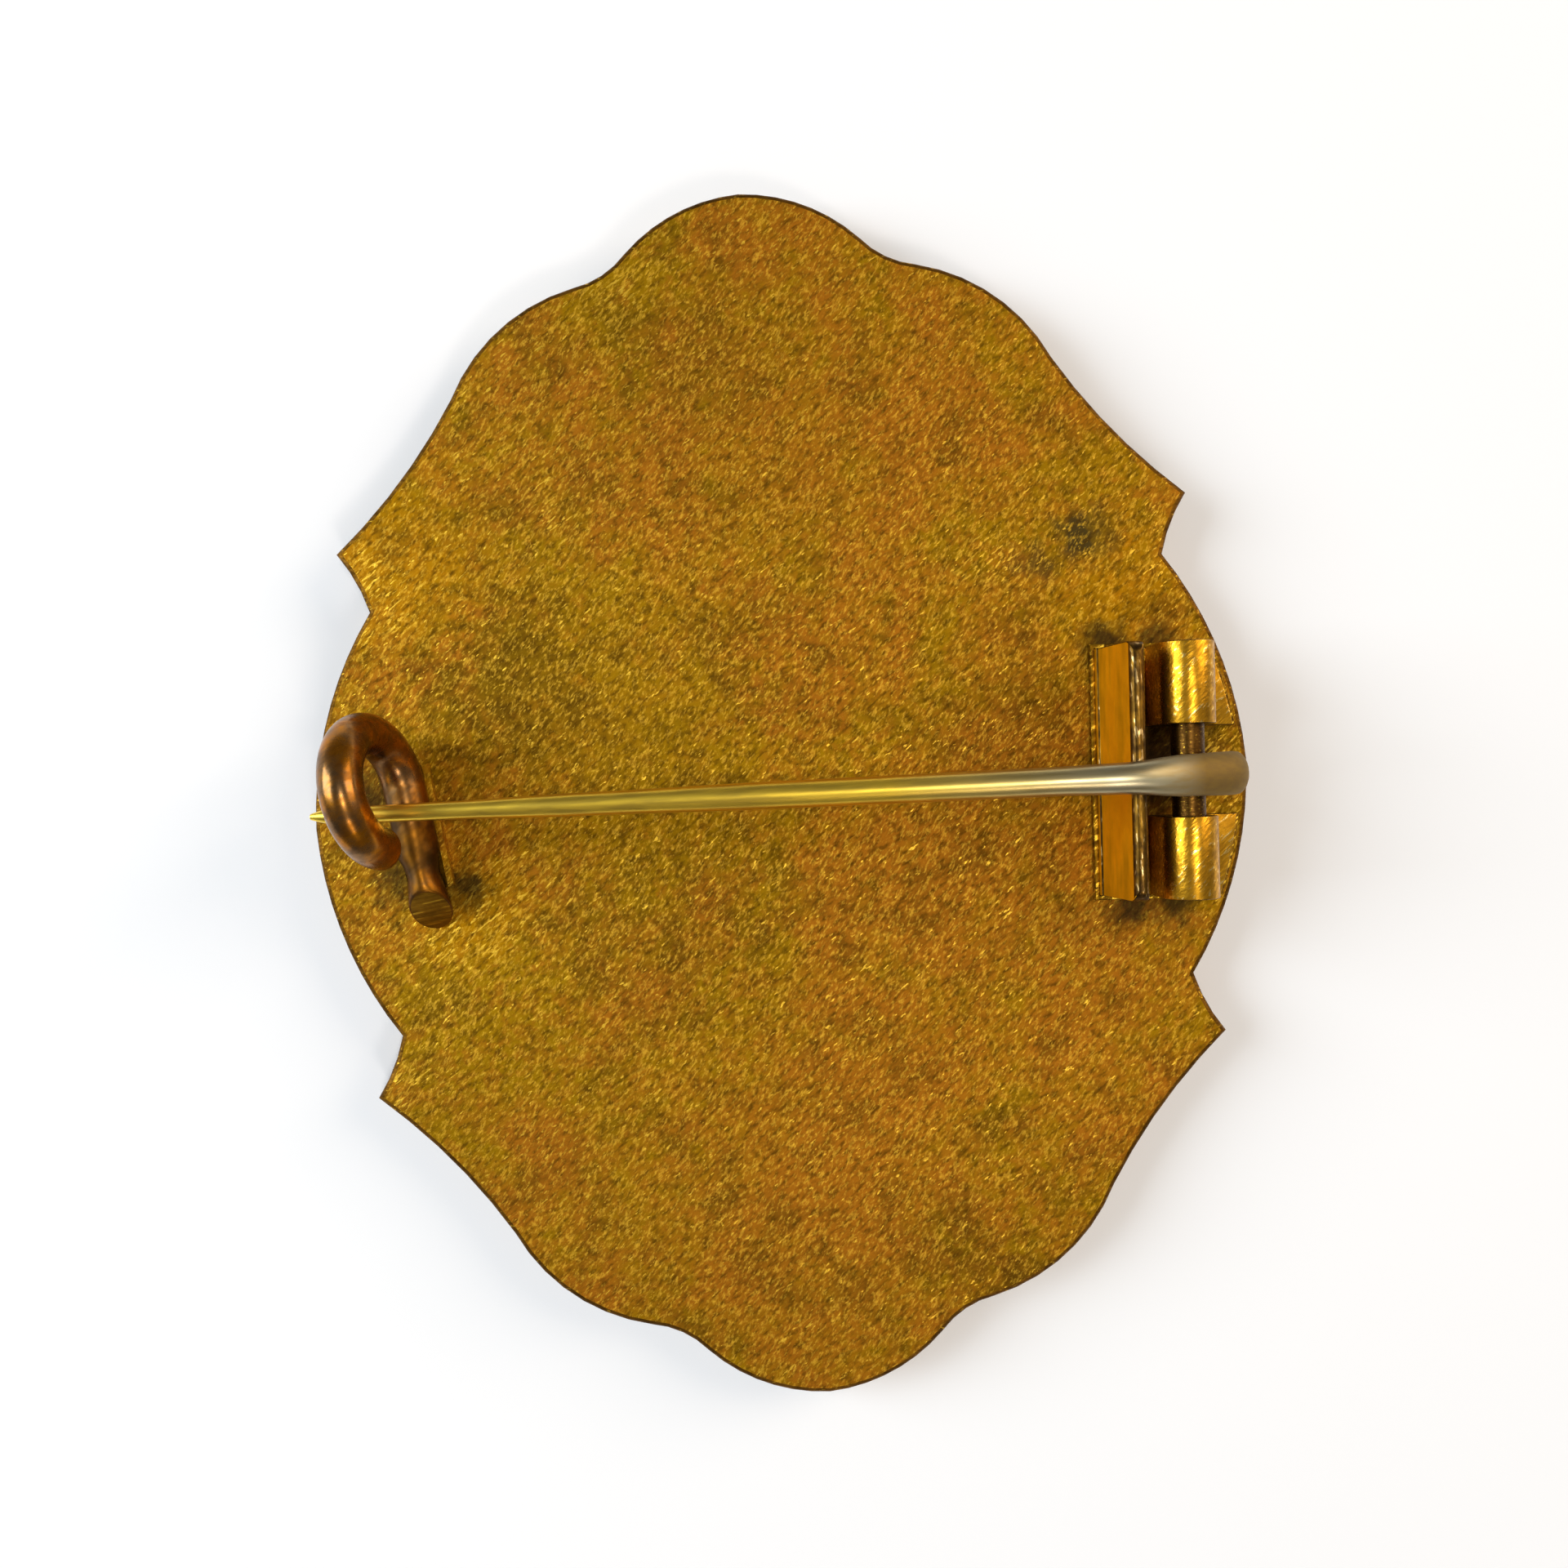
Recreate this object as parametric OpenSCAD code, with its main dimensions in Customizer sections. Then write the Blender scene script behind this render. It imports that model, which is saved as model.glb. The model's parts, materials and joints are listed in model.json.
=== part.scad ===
// Enamelled cap badge with a hinged brooch pin and a wire catch on its back.
// It lies face down: z = 0 is the plane of the raised front rims, +Z points out of the
// back, +Y to the badge's top and +X to the hinge. Lengths are in millimetres.

/* [Badge] */
// Half of the badge's width
half_w = 14.8; // [14:0.1:16]
// Half of the badge's height, an inch and a half overall
half_h = 19.05; // [18.5:0.1:20]
// Thickness over the front rims
plate_t = 1.8; // [1.5:0.1:2.4]

/* [Front relief] */
// Width of the raised rim round the edge
rim_w = 1; // [0.7:0.1:1.3]
// Depth of the enamel cells below the rims
cell_depth = 0.65; // [0.4:0.05:0.8]
// How far the enamel stands below the rims
enamel_dip = 0.1; // [0.05:0.05:0.2]
// Width of the ribs between the outer cells
rib_w = 0.7; // [0.5:0.1:1]
// Half width of the oval bezel
oval_a = 8.4; // [8:0.1:9]
// Half height of the oval bezel
oval_b = 11.2; // [10.5:0.1:12]
// Width of the oval's enamel band
band_w = 1.7; // [1.2:0.1:2]
// Width of the bezel's two raised rings
ring_w = 0.6; // [0.4:0.1:0.8]
// Petals of the raised rosette
petals = 8; // [6:1:10]

/* [Hinge] */
// Length of the hinge along its pivot
hinge_l = 7.8; // [7:0.1:8.4]
// Gap between the knuckles, for the pin's eye
slot_w = 2.8; // [2.4:0.1:3.2]
// Thickness of the folded sheet
sheet_t = 0.45; // [0.35:0.05:0.5]
// Height of the stop wall that holds the pin up
wall_h = 3; // [2.8:0.1:3.2]
// Radius of the knuckles
knuckle_r = 0.85; // [0.7:0.05:0.9]
// Radius of the hinge rivet
rivet_r = 0.5; // [0.4:0.01:0.5]
// Radial clearance of the rivet in the knuckles
rivet_gap = 0.05; // [0.03:0.01:0.06]
// How far the hinge is soldered on askew, in degrees
hinge_turn = 3; // [2:0.5:3]

/* [Pin] */
// Radius of the pin's shank
pin_r = 0.43; // [0.38:0.01:0.45]
// Radial clearance of the eye on the rivet, which lets the pin swing sideways
eye_gap = 0.08; // [0.07:0.01:0.1]
// Width of the flattened wire at the eye
eye_w = 1.2; // [1:0.05:1.3]
// How far the pin slopes down to the catch, in degrees
pin_slope = 4.2; // [3.9:0.1:4.4]
// How far the pin's tip leans to the badge's top, in degrees
pin_lean = 1.65; // [1.3:0.05:2]

/* [Catch] */
// Radius of the catch wire
wire_r = 0.65; // [0.55:0.05:0.65]
// Radius of the crook at the wire's centre line
crook_r = 1.75; // [1.7:0.05:1.85]
// How far the crook leans away from the hinge, in degrees
crook_lean = 16; // [12:1:18]
// How far the catch is turned in plan, in degrees
catch_turn = 8; // [5:1:10]

/* [Hidden] */

$fn = 48;
eps = 0.01;
// How far the straight run of the pin reaches into the curved runs at its ends
weld = 0.1;

// One quarter of the outline, from the side to the top: corners, and how far the arc
// between each pair of them stands out (positive) or in (negative).
ear = [13.5, 8.6];
junction = [4.4, 16.95];
knots = [[half_w, 0], [12.6, 6.7], ear, [9.55, 13.2], [5.45, 16.45], [3.75, 17.4], [0, half_h]];
bulges = [0.51, -0.1, -0.24, 0.6, -0.17, 0.39];
arc_steps = [9, 3, 5, 7, 4, 7];
// Where the front ribs run out to the edge: to the ears and to the junctions
ear_angle = atan2(ear[1], ear[0]);
junction_angle = atan2(junction[1], junction[0]);
rib_angles = [ear_angle, junction_angle, 180 - junction_angle, 180 - ear_angle,
    180 + ear_angle, 180 + junction_angle, 360 - junction_angle, 360 - ear_angle];
reach = 40;
rosette_r = 2.7;
petal_r = 0.85;
boss_r = 1.25;
bar_w = 1.4;
centre_a = oval_a - 2 * ring_w - band_w;
centre_b = oval_b - 2 * ring_w - band_w;

// Hinge, with lengths counted from the pivot and heights from the back face
hinge_y = -0.2;
pivot_x = 12.3;
pivot_h = 1.9;
pivot_z = plate_t + pivot_h;
wall_x = -2.38;
wall_slope = 0.4;
base_end = 2.05;
base_inset = 0.45;
wall_corner_r = 0.45;
solder_w = 0.15;
solder_h = 0.2;

// Pin, in the pivot's own frame: x runs along the pin to its tip and z up
eye_in = rivet_r + eye_gap;
eye_t = 2 * pin_r;
eye_line_r = eye_in + eye_t / 2;
eye_wrap = 255;
pin_y = -0.35;
descent = 24;
bend_r = 6;
rest_gap = 0.13;
top_x = -wall_x - wall_slope - sheet_t / 2;
top_z = wall_h - pivot_h + pin_r + rest_gap;
shank_l = 10.6;
middle_l = 7;
end_l = 4.2;
point_l = 2.1;
middle_r = 0.34;
end_r = 0.26;
tip_r = 0.05;
// The point of the eye where the wire leaves it, and where its line meets the shank's
leave_x = -eye_line_r * sin(descent);
leave_z = eye_line_r * cos(descent);
meet_x = (leave_z - top_z - top_x * tan(pin_slope) - leave_x * tan(descent))
    / (-tan(pin_slope) - tan(descent));
meet_z = top_z + (top_x - meet_x) * tan(pin_slope);
bend_angle = descent + pin_slope;
bend_run = bend_r * tan(bend_angle / 2);
leave_l = norm([meet_x - leave_x, meet_z - leave_z]) - bend_run;

// Catch
catch_x = -11.75;
catch_y = 1.1;
foot_l = 3.9;
crook_sweep = 262;

function arc_points(p, q, bulge, steps) =
    let (chord = norm(q - p), r = (chord * chord / 4 + bulge * bulge) / (2 * abs(bulge)),
        side = bulge > 0 ? 1 : -1, out = [(q - p)[1], (p - q)[0]] / chord,
        c = (p + q) / 2 - side * (r - abs(bulge)) * out,
        start = atan2(p[1] - c[1], p[0] - c[0]), sweep = 2 * side * asin(chord / 2 / r))
    [for (i = [0:steps - 1]) c + r * [cos(start + sweep * i / steps), sin(start + sweep * i / steps)]];
function turned(points) = [for (p = points) -p];
function flipped(points) = [for (i = [len(points) - 1:-1:1]) [-points[i][0], points[i][1]]];
function inset(points, d) = [for (p = points) [p[0] * (1 - d / half_w), p[1] * (1 - d / half_h)]];

quarter = [for (i = [0:len(bulges) - 1]) each arc_points(knots[i], knots[i + 1], bulges[i], arc_steps[i])];
upper_half = concat(quarter, [[0, half_h]], flipped(quarter));
outline = concat(upper_half, turned(upper_half));

module oval(a, b) {
    polygon([for (t = [0:5:355]) [a * cos(t), b * sin(t)]]);
}

module wedge(from, to) {
    polygon([[0, 0], reach * [cos(from), sin(from)], reach * [cos(to), sin(to)]]);
}

module ribs() {
    for (a = rib_angles) rotate(a) translate([0, -rib_w / 2]) square([reach, rib_w]);
}

// The raised flower in the middle: a ring of round petals and a boss
module rosette() {
    circle(boss_r);
    for (i = [0:petals - 1]) rotate(i * 360 / petals) translate([rosette_r, 0]) circle(petal_r);
}

module centre_cell() {
    difference() {
        oval(centre_a, centre_b);
        rosette();
    }
}

// One quarter of the band, between bars on the badge's two axes
module band_cell(i) {
    difference() {
        intersection() {
            difference() {
                oval(oval_a - ring_w, oval_b - ring_w);
                oval(centre_a + ring_w, centre_b + ring_w);
            }
            wedge(90 * (i - 1), 90 * i);
        }
        square([2 * reach, bar_w], center = true);
        square([bar_w, 2 * reach], center = true);
    }
}

// One of the panels between the oval and the rim, counted from the upper right shoulder
module panel_cell(i) {
    from = rib_angles[i - 1];
    to = i == len(rib_angles) ? rib_angles[0] + 360 : rib_angles[i];
    difference() {
        intersection() {
            polygon(inset(outline, rim_w));
            wedge(from, to);
        }
        oval(oval_a, oval_b);
        ribs();
    }
}

module badge_plate() {
    color("darkgoldenrod") difference() {
        linear_extrude(plate_t) polygon(outline);
        translate([0, 0, -eps]) linear_extrude(cell_depth + eps) {
            centre_cell();
            for (i = [1:4]) band_cell(i);
            for (i = [1:len(rib_angles)]) panel_cell(i);
        }
    }
}

module enamel_fill() {
    translate([0, 0, enamel_dip]) linear_extrude(cell_depth - enamel_dip) children();
}

module enamel_centre() {
    color("ivory") enamel_fill() centre_cell();
}

module enamel_band(i) {
    color("darkgreen") enamel_fill() band_cell(i);
}

module enamel_panel(i) {
    color("firebrick") enamel_fill() panel_cell(i);
}

module at_hinge() {
    translate([pivot_x, hinge_y]) rotate(-hinge_turn) children();
}

// Footprint of the folded sheet, whose outer side follows the badge's edge
module hinge_footprint(grow = 0) {
    intersection() {
        at_hinge() translate([wall_x - grow, -hinge_l / 2 - grow])
            square([base_end - wall_x + 2 * grow, hinge_l + 2 * grow]);
        polygon(inset(outline, base_inset - grow));
    }
}

// Side view of the stop wall, with its rounded lip
module wall_side() {
    lip_r = sheet_t / 2;
    polygon([[wall_x, 0], [wall_x + sheet_t, 0],
        [wall_x + sheet_t + wall_slope, wall_h - lip_r], [wall_x + wall_slope, wall_h - lip_r]]);
    translate([wall_x + wall_slope + lip_r, wall_h - lip_r]) circle(lip_r);
}

module along_y(length) {
    translate([0, length / 2, 0]) rotate([90, 0, 0]) linear_extrude(length) children();
}

// The stop wall from the front: a strip with round upper corners
module wall_front() {
    r = wall_corner_r;
    translate([-hinge_l / 2, -eps]) square([hinge_l, wall_h - r + eps]);
    translate([-hinge_l / 2 + r, 0]) square([hinge_l - 2 * r, wall_h]);
    for (s = [-1, 1]) translate([s * (hinge_l / 2 - r), wall_h - r]) circle(r);
}

module stop_wall() {
    intersection() {
        along_y(hinge_l) wall_side();
        translate([wall_x - 1, 0, 0]) rotate([90, 0, 90]) linear_extrude(3) wall_front();
    }
}

module knuckles() {
    knuckle_l = (hinge_l - slot_w) / 2;
    for (s = [-1, 1]) translate([0, s * (slot_w + knuckle_l) / 2, 0]) along_y(knuckle_l) {
        translate([0, pivot_h]) circle(knuckle_r);
        translate([-knuckle_r, 0]) square([2 * knuckle_r, pivot_h]);
    }
}

// The slot in the base that the eye turns in
module eye_slot() {
    translate([-eye_in - eye_t - 0.15, -slot_w / 2]) square([reach, slot_w]);
}

module hinge_block() {
    color("goldenrod") translate([0, 0, plate_t]) difference() {
        union() {
            linear_extrude(sheet_t) hinge_footprint();
            at_hinge() stop_wall();
            at_hinge() knuckles();
        }
        at_hinge() translate([0, 0, pivot_h]) rotate([90, 0, 0])
            cylinder(h = hinge_l + 1, r = rivet_r + rivet_gap, center = true);
        at_hinge() translate([0, 0, -eps]) linear_extrude(sheet_t + 2 * eps) eye_slot();
    }
}

module hinge_rivet() {
    color("darkgoldenrod") translate([0, 0, pivot_z]) at_hinge() rotate([90, 0, 0])
        cylinder(h = hinge_l - 0.1, r = rivet_r, center = true);
}

module hinge_solder() {
    color("silver") translate([0, 0, plate_t]) linear_extrude(solder_h) difference() {
        hinge_footprint(solder_w);
        hinge_footprint();
        at_hinge() eye_slot();
    }
}

// Section of the flattened wire, as wide as the eye, or a little slimmer
module flat_wire(slim = 0) {
    square([eye_t - 2 * slim, eye_w - eye_t], center = true);
    for (s = [-1, 1]) translate([0, s * (eye_w - eye_t) / 2]) circle(eye_t / 2 - slim);
}

// The eye: the flattened wire curled round the rivet
module pin_eye() {
    rotate([90, 0, 0]) rotate(90 + descent) rotate_extrude(angle = eye_wrap)
        translate([eye_line_r, 0]) flat_wire();
}

// The straight run from the eye up to the bend over the stop wall
module pin_rise() {
    translate([leave_x, 0, leave_z]) rotate([0, 90 - descent, 0]) translate([0, 0, -weld])
        linear_extrude(leave_l + 2 * weld) flat_wire(eps);
}

module pin_bend() {
    translate([meet_x, 0, meet_z]) rotate([0, pin_slope, 0])
        translate([bend_run, 0, -bend_r]) rotate([90, 0, 0]) rotate(90)
            rotate_extrude(angle = bend_angle) translate([bend_r, 0]) flat_wire();
}

module pin_shank() {
    translate([meet_x, 0, meet_z]) rotate([0, 90 + pin_slope, 0]) translate([0, 0, bend_run]) {
        cylinder(h = shank_l, r = pin_r);
        translate([0, 0, shank_l]) cylinder(h = middle_l, r1 = pin_r, r2 = middle_r);
        translate([0, 0, shank_l + middle_l]) cylinder(h = end_l, r1 = middle_r, r2 = end_r);
        translate([0, 0, shank_l + middle_l + end_l]) cylinder(h = point_l, r1 = end_r, r2 = tip_r);
    }
}

module pin() {
    off_centre = pin_y - hinge_y;
    color("khaki") translate([pivot_x + off_centre * tan(hinge_turn), pin_y, pivot_z])
        rotate(180 - pin_lean) {
            pin_eye();
            pin_rise();
            pin_bend();
            pin_shank();
        }
}

module at_catch() {
    translate([catch_x, catch_y, plate_t + wire_r]) rotate(catch_turn) children();
}

module catch_wire() {
    color("sienna") at_catch() {
        // the foot lies along the plate and ends in a slanting nipped face
        difference() {
            rotate([90, 0, 0]) cylinder(h = foot_l + wire_r, r = wire_r);
            translate([-2 * wire_r, -foot_l, 0]) rotate([45, 0, 0])
                translate([0, -4, 0]) cube([4 * wire_r, 8, 4]);
        }
        rotate([0, -crook_lean, 0]) translate([0, 0, crook_r]) rotate([0, 90, 0])
            rotate_extrude(angle = crook_sweep) translate([crook_r, 0]) circle(wire_r);
    }
}

module catch_solder() {
    color("silver") at_catch() difference() {
        translate([-wire_r - solder_w, -foot_l + 0.6, -wire_r])
            cube([2 * (wire_r + solder_w), foot_l, 2 * solder_h]);
        rotate([90, 0, 0]) cylinder(h = 3 * foot_l, r = wire_r, center = true);
    }
}

badge_plate();
enamel_centre();
for (i = [1:4]) enamel_band(i);
for (i = [1:8]) enamel_panel(i);
hinge_block();
hinge_rivet();
hinge_solder();
pin();
catch_wire();
catch_solder();
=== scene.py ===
# %% [markdown]
# A cap badge seen from its back: a struck plate of gilding metal, a hinged pin and a wire catch.
# The shapes that fit and move are already in the frame, so this first cell loads it and keeps
# the box of the plate, whose top is the back.

# %% Load the frame
import json
from math import cos, sin, tan, radians, pi, hypot

import bmesh
import bpy
from mathutils import Matrix, Vector


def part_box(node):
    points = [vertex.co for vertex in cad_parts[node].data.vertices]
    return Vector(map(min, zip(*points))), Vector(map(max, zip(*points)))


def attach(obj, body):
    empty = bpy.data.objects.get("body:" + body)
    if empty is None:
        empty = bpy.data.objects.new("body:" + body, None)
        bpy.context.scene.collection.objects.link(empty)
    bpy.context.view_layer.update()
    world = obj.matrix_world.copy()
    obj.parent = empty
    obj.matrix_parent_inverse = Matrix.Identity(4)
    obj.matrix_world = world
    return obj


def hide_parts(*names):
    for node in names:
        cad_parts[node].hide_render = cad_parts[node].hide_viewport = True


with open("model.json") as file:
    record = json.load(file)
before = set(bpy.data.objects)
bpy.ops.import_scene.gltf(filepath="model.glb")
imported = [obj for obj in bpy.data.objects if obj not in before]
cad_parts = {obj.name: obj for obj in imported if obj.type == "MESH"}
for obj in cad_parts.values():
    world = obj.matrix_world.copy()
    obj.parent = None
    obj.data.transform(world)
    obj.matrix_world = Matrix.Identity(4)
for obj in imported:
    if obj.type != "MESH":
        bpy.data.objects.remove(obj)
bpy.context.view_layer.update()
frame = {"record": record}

MM = 0.001
plate_low, plate_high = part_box("badge_plate")
back_z = plate_high[2]
joint = {j["name"]: j for j in frame["record"]["behaviour"]["joints"]}
pivot = Vector(joint["pin_release"]["pos_m"])
print("badge", [round((h - l) / MM, 2) for l, h in zip(plate_low, plate_high)], "mm")

# %% [markdown]
# The camera looks straight down from close by, so that a small badge fills the frame, and
# what stands high on the back looks larger and leans outwards. Its matrix is built from the
# way it looks and the way its right side points, because to_track_quat picks a roll of its
# own for a camera that looks straight down. A last turn puts the badge a little anticlockwise.

# %% Camera
camera_height = 45 * MM
view_width = 49.6 * MM
badge_turn = radians(4.4)
looked_at = Vector((0.02 * MM, 0.31 * MM, back_z))
camera_at = Vector((-0.83 * MM, 0.48 * MM, back_z + camera_height))
sensor_mm = 36

lens = bpy.data.cameras.new("camera")
lens.sensor_width = sensor_mm
lens.lens = sensor_mm * camera_height / view_width
lens.clip_start = 1 * MM
camera = bpy.data.objects.new("camera", lens)
back = (camera_at - looked_at).normalized()
right = Vector((0, 1, 0)).cross(back).normalized()
facing = Matrix((right, back.cross(right), back)).transposed().to_4x4()
camera.matrix_world = Matrix.Translation(camera_at) @ facing @ Matrix.Rotation(-badge_turn, 4, "Z")
bpy.context.scene.collection.objects.link(camera)
bpy.context.scene.camera = camera
print("lens", round(lens.lens, 1), "mm, seen from", round(camera_height / MM), "mm")

# %% [markdown]
# Bare metal shows little but what it reflects, so the lights matter as much as the colours.
# Two soft panels stand left and right, one cool and one warm, so the shadow on each side
# takes the colour of the other panel. Two small lamps overhead make the short highlights on
# the wires, and a pale world fills the rest. Area lights give softer shadows than points.

# %% Floor and lights
scene = bpy.context.scene
scene.view_settings.view_transform = "Standard"


def stage_floor():
    """A wide pale sheet just under the badge's rims."""
    bm = bmesh.new()
    bmesh.ops.create_grid(bm, x_segments=1, y_segments=1, size=0.6)
    bmesh.ops.translate(bm, verts=bm.verts, vec=(0, 0, -0.01 * MM))
    mesh = bpy.data.meshes.new("floor")
    bm.to_mesh(mesh)
    bm.free()
    floor = bpy.data.objects.new("floor", mesh)
    scene.collection.objects.link(floor)
    paper = bpy.data.materials.new("paper")
    paper.use_nodes = True
    shader = paper.node_tree.nodes["Principled BSDF"]
    shader.inputs["Base Color"].default_value = (0.93, 0.945, 0.98, 1)
    shader.inputs["Roughness"].default_value = 0.9
    mesh.materials.append(paper)


def soft_panel(name, place, size, power, colour):
    """An area light at place, turned to face the badge."""
    light = bpy.data.lights.new(name, "AREA")
    light.shape = "RECTANGLE"
    light.size, light.size_y = size
    light.energy = power
    light.color = colour
    panel = bpy.data.objects.new(name, light)
    panel.location = place
    panel.rotation_euler = (-Vector(place)).to_track_quat("-Z", "Y").to_euler()
    scene.collection.objects.link(panel)


stage_floor()
soft_panel("left_panel", (-0.25, 0.06, 0.16), (0.16, 0.22), 0.80, (0.84, 0.93, 1.0))
soft_panel("right_panel", (0.24, 0.10, 0.16), (0.14, 0.20), 0.40, (1.0, 0.82, 0.62))
soft_panel("key_lamp", (0.06, -0.01, 0.36), (0.07, 0.05), 0.35, (1.0, 0.97, 0.90))
soft_panel("low_lamp", (0.07, -0.20, 0.26), (0.06, 0.05), 0.15, (1.0, 0.88, 0.78))

world = bpy.data.worlds.new("world")
scene.world = world
world.use_nodes = True
world.node_tree.nodes["Background"].inputs["Color"].default_value = (1.0, 0.97, 0.94, 1)
world.node_tree.nodes["Background"].inputs["Strength"].default_value = 0.18

# %% [markdown]
# Wire, sheet and struck metal all end in edges that are never perfectly sharp. A CAD solid
# has sharp ones, so each metal piece is a copy of its solid whose triangles are first merged
# into whole faces and whose edges are then bevelled. The bevel catches the light as a thin
# line, which is what makes small metal parts look real.


# %% Softened copies of the CAD solids
def finish_piece(name, bm, body, replaced, smooth_angle=35):
    """Turn a bmesh into a piece that rides on body and stands for the replaced nodes."""
    bmesh.ops.recalc_face_normals(bm, faces=bm.faces)
    mesh = bpy.data.meshes.new(name)
    bm.to_mesh(mesh)
    bm.free()
    mesh.shade_smooth()
    mesh.set_sharp_from_angle(angle=radians(smooth_angle))
    piece = bpy.data.objects.new(name, mesh)
    scene.collection.objects.link(piece)
    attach(piece, body)
    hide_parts(*replaced)
    print(name, len(mesh.polygons), "faces")
    return piece


def merged_copy(node):
    """The node's mesh with its triangles joined into whole flat faces."""
    bm = bmesh.new()
    bm.from_mesh(bpy.data.objects[node].data)
    bmesh.ops.remove_doubles(bm, verts=bm.verts, dist=0.001 * MM)
    bmesh.ops.dissolve_limit(bm, angle_limit=radians(1), verts=bm.verts, edges=bm.edges,
                             delimit={"NORMAL"})
    return bm


def soften(bm, edges, width, segments=2):
    """Bevel the edges, with the width measured along the faces beside them."""
    bmesh.ops.bevel(bm, geom=list(edges), offset=width, offset_type="OFFSET", affect="EDGES",
                    segments=segments, profile=0.5, material=-1, clamp_overlap=True)


def sharp_edges(bm, angle=30):
    """The edges between two faces that meet at more than the angle, in degrees."""
    return [e for e in bm.edges if len(e.link_faces) == 2 and e.calc_face_angle(0) > radians(angle)]


# %% [markdown]
# Old brass is never one colour. Its effects come back on every metal piece here at different
# sizes: short strokes left by an abrasive, cloudy patches where the metal has darkened, small
# stains and patches of painted shade at certain places, and rare bright glints, which are
# fresh metal where a scratch has opened it and partly painted sparkle. They could be painted
# on an image, but then each piece would need an unwrapped map. Each effect is instead a node
# group that is built once and placed in each material with its own values.

# %% Node helpers
def put(tree, kind, inputs=None, **settings):
    """Add a node, set its properties, and fill each input with a value or a link."""
    made = tree.nodes.new(kind)
    for key, value in settings.items():
        setattr(made, key, value)
    for key, value in (inputs or {}).items():
        if isinstance(value, bpy.types.NodeSocket):
            tree.links.new(value, made.inputs[key])
        else:
            made.inputs[key].default_value = value
    return made


def effect(name, inputs, output):
    """A new node group: its tree, its inputs' sockets by name, and the node its result goes to."""
    tree = bpy.data.node_groups.new(name, "ShaderNodeTree")
    for title, kind, value in inputs:
        socket = tree.interface.new_socket(title, in_out="INPUT", socket_type="NodeSocket" + kind)
        socket.default_value = value
    tree.interface.new_socket(output, in_out="OUTPUT", socket_type="NodeSocketFloat")
    source = tree.nodes.new("NodeGroupInput")
    return tree, source.outputs, tree.nodes.new("NodeGroupOutput")


def place(tree, group, **inputs):
    """Put a group into a material's tree and give back its one output."""
    values = {key.replace("_", " "): value for key, value in inputs.items()}
    return put(tree, "ShaderNodeGroup", values, node_tree=group).outputs[0]


def mixed(tree, mask, first, second, blend="MIX"):
    """The colour first, turned to second where the mask is 1."""
    made = put(tree, "ShaderNodeMix", {0: mask, 6: first, 7: second}, data_type="RGBA",
               blend_type=blend)
    return made.outputs[2]


def maths(tree, operation, first, second=0.0):
    """One Math node's result."""
    return put(tree, "ShaderNodeMath", {0: first, 1: second}, operation=operation).outputs[0]


def spread(tree, value, low, high, to_low=0.0, to_high=1.0):
    """Stretch value from low..high to to_low..to_high, and stop it there."""
    return put(tree, "ShaderNodeMapRange", {"Value": value, "From Min": low, "From Max": high,
                                            "To Min": to_low, "To Max": to_high}).outputs[0]


# %% [markdown]
# Strokes are noise that is stretched one way. The Mapping node is of the Texture kind, so its
# scale is the size of a stroke in metres and its turn is the way the hand moved. Clouds are
# the same noise unstretched. A stain, and also a patch of painted shade, is the distance from
# a place, made ragged by noise, and glints are only the highest parts of the strokes.

# %% Strokes, clouds, stains and painted shade, and glints
def stroke_group():
    tree, given, result = effect("strokes", [("Turn", "Float", 0), ("Length", "Float", MM),
                                             ("Width", "Float", MM / 10)], "Mask")
    turn = put(tree, "ShaderNodeCombineXYZ", {"Z": given["Turn"]})
    size = put(tree, "ShaderNodeCombineXYZ", {"X": given["Length"], "Y": given["Width"],
                                              "Z": given["Width"]})
    coords = put(tree, "ShaderNodeTexCoord")
    mapping = put(tree, "ShaderNodeMapping", {"Vector": coords.outputs["Object"],
                                              "Rotation": turn.outputs[0], "Scale": size.outputs[0]},
                  vector_type="TEXTURE")
    noise = put(tree, "ShaderNodeTexNoise", {"Vector": mapping.outputs[0], "Scale": 1.0,
                                             "Detail": 2.0, "Roughness": 0.6})
    tree.links.new(noise.outputs["Fac"], result.inputs[0])
    return tree


def cloud_group():
    tree, given, result = effect("clouds", [("Size", "Float", MM), ("Low", "Float", 0.4),
                                            ("High", "Float", 0.6), ("Shift", "Float", 0)], "Mask")
    coords = put(tree, "ShaderNodeTexCoord")
    size = put(tree, "ShaderNodeCombineXYZ", {axis: given["Size"] for axis in "XYZ"})
    shift = put(tree, "ShaderNodeCombineXYZ", {"X": given["Shift"]})
    mapping = put(tree, "ShaderNodeMapping", {"Vector": coords.outputs["Object"],
                                              "Location": shift.outputs[0], "Scale": size.outputs[0]},
                  vector_type="TEXTURE")
    noise = put(tree, "ShaderNodeTexNoise", {"Vector": mapping.outputs[0], "Scale": 1.0,
                                             "Detail": 4.0, "Roughness": 0.62})
    tree.links.new(spread(tree, noise.outputs["Fac"], given["Low"], given["High"]), result.inputs[0])
    return tree


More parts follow.
